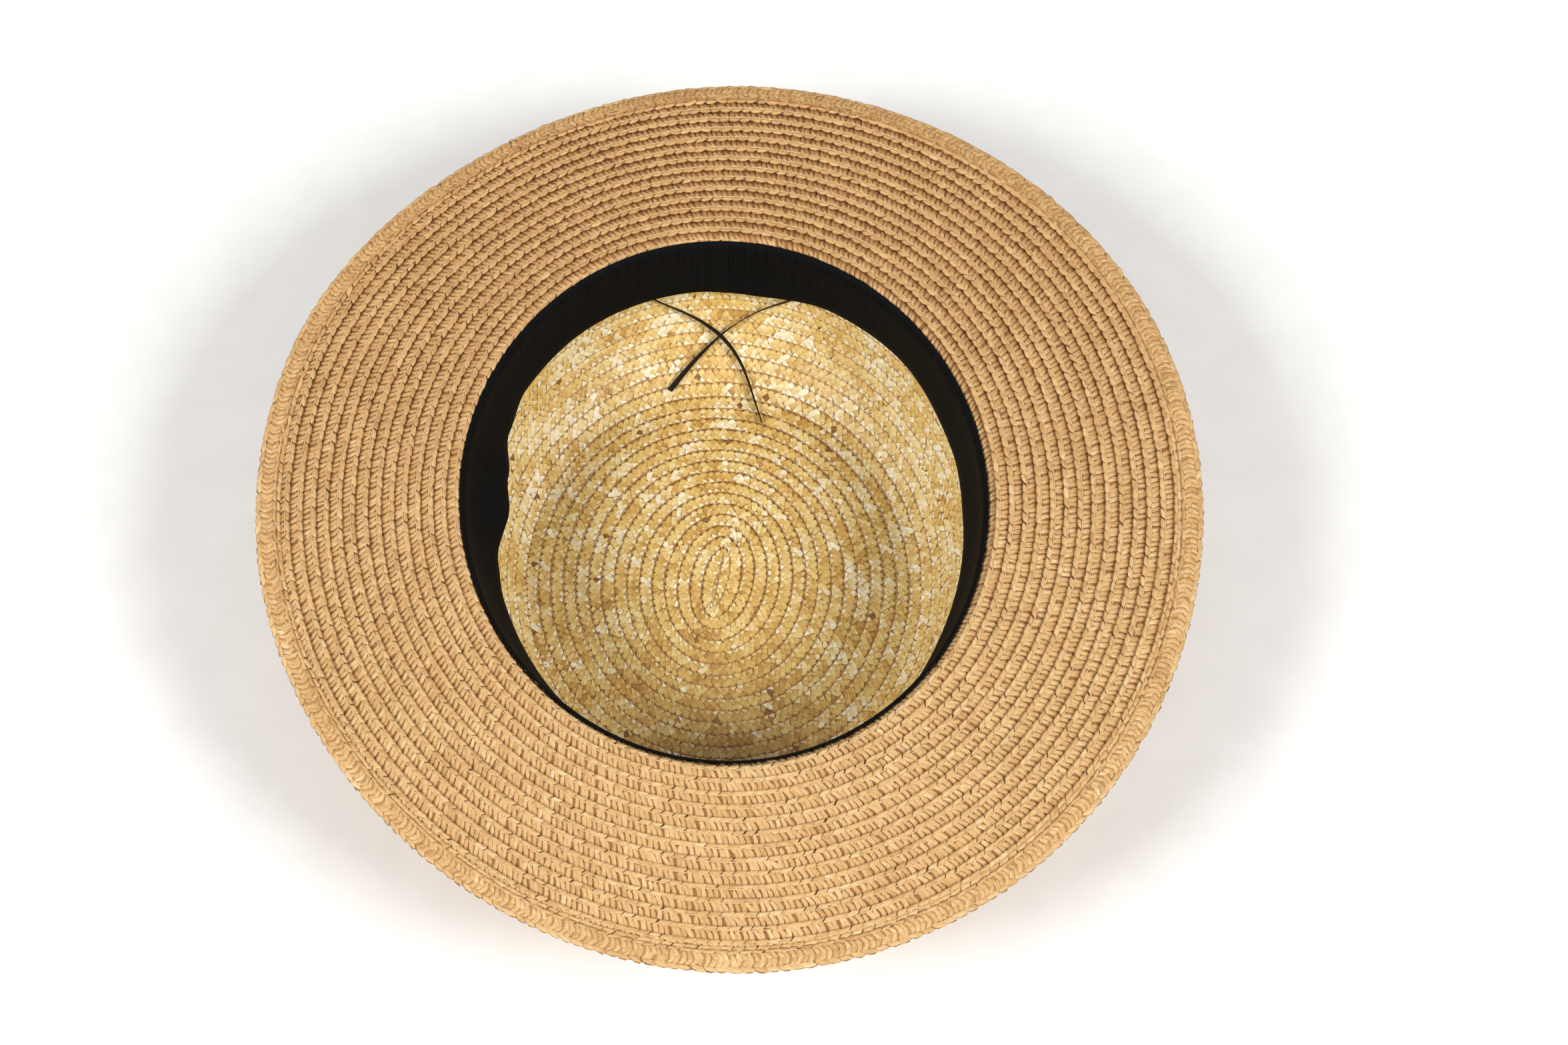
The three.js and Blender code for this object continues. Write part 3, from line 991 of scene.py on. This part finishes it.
def make_sweatband(material):
    columns = BAND_RIBS * RIB_POINTS
    degrees = np.arange(columns) * FULL_TURN / columns
    rib = 0.5 + 0.5 * np.cos(2 * math.pi * np.arange(columns) / RIB_POINTS)
    lap = np.mod(degrees - BAND_SEAM_ANGLE, FULL_TURN)
    lapped = np.where(lap < BAND_LAP_DEGREES, BAND_LAP_HEIGHT, 0)
    down, raised, ribbed = ribbon_section()
    around, profile = np.meshgrid(np.arange(columns), np.arange(len(down)), indexing="ij")
    lift = raised[profile] + ribbed[profile] * (RIB_HEIGHT * rib[around] + lapped[around])
    points = band_face(degrees[around], down[profile], lift).reshape(-1, 3)
    sides = len(down)
    here = (around * sides + profile).ravel()
    next_profile = (around * sides + (profile + 1) % sides).ravel()
    shift = sides * columns
    quads = np.stack([here, next_profile, (next_profile + sides) % shift, (here + sides) % shift], 1)
    mesh = Mesh()
    length = 2 * math.pi * float(np.mean(OPENING[:2]))
    strand = np.stack([
        (degrees[around] / FULL_TURN * length).ravel(),
        (down[profile] * BAND_DEPTH / 2).ravel(),
        np.zeros(len(points)),
    ], 1)
    mesh.add(
        points,
        quads.ravel(),
        np.full(len(quads), 4),
        np.full(len(quads), True),
        rib=rib[around].ravel(),
        strand=strand,
    )
    band = ride_as(mesh.piece("sweatband_ribbon", material), "sweatband")
    return band


# Size tape: two loose ends of a narrow flat tape, with its twist in degrees at shares of its length

TAPE_WIDTH = 2 * MM
TAPE_THICKNESS = 0.22 * MM
TAPE_FLAT_SHARE = 0.8
TAPE_STEPS_BETWEEN_POINTS = 5
EASING_PASSES = 4
TAPE_LEFT_ROUTE = [
    (-0.032, 0.0904, 0.0406),
    (-0.0305, 0.0902, 0.0376),
    (-0.0283, 0.0902, 0.0346),
    (-0.026, 0.09, 0.0317),
    (-0.021, 0.0903, 0.0289),
    (-0.016, 0.0902, 0.0262),
    (-0.0124, 0.089, 0.0238),
    (-0.009, 0.0879, 0.0222),
    (-0.006, 0.0864, 0.0203),
    (-0.0033, 0.0852, 0.0184),
    (-0.0013, 0.084, 0.0161),
    (0.0004, 0.0829, 0.0137),
    (0.0032, 0.0808, 0.0106),
    (0.0048, 0.0779, 0.0077),
    (0.0059, 0.0748, 0.0055),
    (0.0071, 0.0713, 0.0039),
    (0.0081, 0.0682, 0.0032),
    (0.0094, 0.0631, 0.0032),
    (0.0106, 0.0591, 0.0032),
]
TAPE_RIGHT_ROUTE = [
    (0.0248, 0.0898, 0.0391),
    (0.0237, 0.0897, 0.0368),
    (0.0224, 0.0895, 0.0346),
    (0.0189, 0.0897, 0.0317),
    (0.0161, 0.0902, 0.0307),
    (0.0129, 0.0903, 0.0289),
    (0.0095, 0.0902, 0.0269),
    (0.0059, 0.0896, 0.0242),
    (0.002, 0.0885, 0.021),
    (-0.0008, 0.0876, 0.0192),
    (-0.0033, 0.0867, 0.0175),
    (-0.0058, 0.0852, 0.0152),
    (-0.008, 0.0836, 0.0132),
    (-0.0104, 0.0821, 0.0115),
    (-0.0127, 0.0805, 0.01),
    (-0.015, 0.0783, 0.0082),
    (-0.0173, 0.076, 0.0067),
    (-0.0194, 0.0737, 0.0054),
    (-0.0215, 0.0712, 0.0044),
]
TAPES = {
    "size_tape_left": {
        "route": TAPE_LEFT_ROUTE,
        "length": 0.0745,
        "twist": [(0, 84), (0.2, 76), (0.5, 42), (0.75, 64), (1, 82)],
    },
    "size_tape_right": {
        "route": TAPE_RIGHT_ROUTE,
        "length": 0.0643,
        "twist": [(0, 66), (0.2, 74), (0.45, 85), (0.6, 68), (0.8, 42), (1, 14)],
    },
}


def smooth_line(route, steps):
    """Points of a smooth curve along a route that is first eased, with steps from each point to the next."""
    route = np.array(route)
    for _ in range(EASING_PASSES):
        route[1:-1] = (route[:-2] + 2 * route[1:-1] + route[2:]) / 4
    padded = np.concatenate([[2 * route[0] - route[1]], route, [2 * route[-1] - route[-2]]])
    share = (np.arange(steps) / steps)[:, None]
    line = []
    for before, here, there, after in zip(padded, padded[1:], padded[2:], padded[3:]):
        line.append(0.5 * (
            2 * here
            + (there - before) * share
            + (2 * before - 5 * here + 4 * there - after) * share ** 2
            + (3 * here - before - 3 * there + after) * share ** 3
        ))
    return np.concatenate([*line, route[-1:]])


def make_tape(name, material):
    tape = TAPES[name]
    line = smooth_line(tape["route"], TAPE_STEPS_BETWEEN_POINTS)
    along = np.gradient(line, axis=0)
    along /= np.linalg.norm(along, axis=1, keepdims=True)
    toward = np.array(CAMERA_PLACE) - line
    toward -= along * np.sum(toward * along, axis=1, keepdims=True)
    toward /= np.linalg.norm(toward, axis=1, keepdims=True)
    sideways = np.cross(along, toward)
    places, angles = np.array(tape["twist"], float).T
    share = np.linspace(0, 1, len(line))
    twist = np.radians(np.interp(share, places, angles))[:, None]
    wide = sideways * np.cos(twist) + toward * np.sin(twist)
    thick = np.cross(wide, along)
    half_width = TAPE_WIDTH / 2
    half_thickness = TAPE_THICKNESS / 2
    flat_width = half_width * TAPE_FLAT_SHARE
    section = np.array([
        (half_width, 0),
        (flat_width, half_thickness),
        (-flat_width, half_thickness),
        (-half_width, 0),
        (-flat_width, -half_thickness),
        (flat_width, -half_thickness),
    ])
    points = line[:, None] + wide[:, None] * section[None, :, :1] + thick[:, None] * section[None, :, 1:]
    corners, sizes = tube_faces(len(line), len(section))
    mesh = Mesh()
    strand = np.stack(np.broadcast_arrays(share[:, None] * tape["length"], section[None, :, 0], 0.0), -1)
    mesh.add(points.reshape(-1, 3), corners, sizes, sizes == 4, strand=strand.reshape(-1, 3))
    made = ride_as(mesh.piece(name + "_strip", material), name)


# Floor and light

FLOOR_HALF = 3.0
LIGHTS = {
    "front_right": {"place": (1.55, -0.98, 1.75), "size": 0.9, "power": 44.5},
    "front_left": {"place": (-1.55, -0.98, 1.75), "size": 0.9, "power": 43.5},
}
SKY_STRENGTH = 0.36


def make_floor():
    mesh = Mesh()
    corners = np.array([(-1, -1, 0), (1, -1, 0), (1, 1, 0), (-1, 1, 0)]) * FLOOR_HALF
    mesh.add(corners, np.arange(4), np.array([4]), np.array([False]))
    mesh.piece("floor", floor_finish())


def make_lights():
    for name, facts in LIGHTS.items():
        lamp = bpy.data.lights.new(name, "AREA")
        lamp.energy = facts["power"]
        lamp.size = facts["size"]
        placed = bpy.data.objects.new(name, lamp)
        placed.location = facts["place"]
        toward = CAMERA_TARGET - placed.location
        placed.rotation_euler = toward.to_track_quat("-Z", "Y").to_euler()
        bpy.context.scene.collection.objects.link(placed)
    world = bpy.data.worlds.new("soft_white")
    world.use_nodes = True
    world.node_tree.nodes["Background"].inputs["Color"].default_value = (1, 1, 1, 1)
    world.node_tree.nodes["Background"].inputs["Strength"].default_value = SKY_STRENGTH
    bpy.context.scene.world = world
    bpy.context.scene.view_settings.view_transform = "Standard"


def main():
    add_camera()
    tape_material = tape_finish()
    for name in TAPES:
        make_tape(name, tape_material)
    make_brim(paper_braid_finish())
    make_crown(straw_finish())
    make_sweatband(ribbon_finish())
    make_floor()
    make_lights()


main()
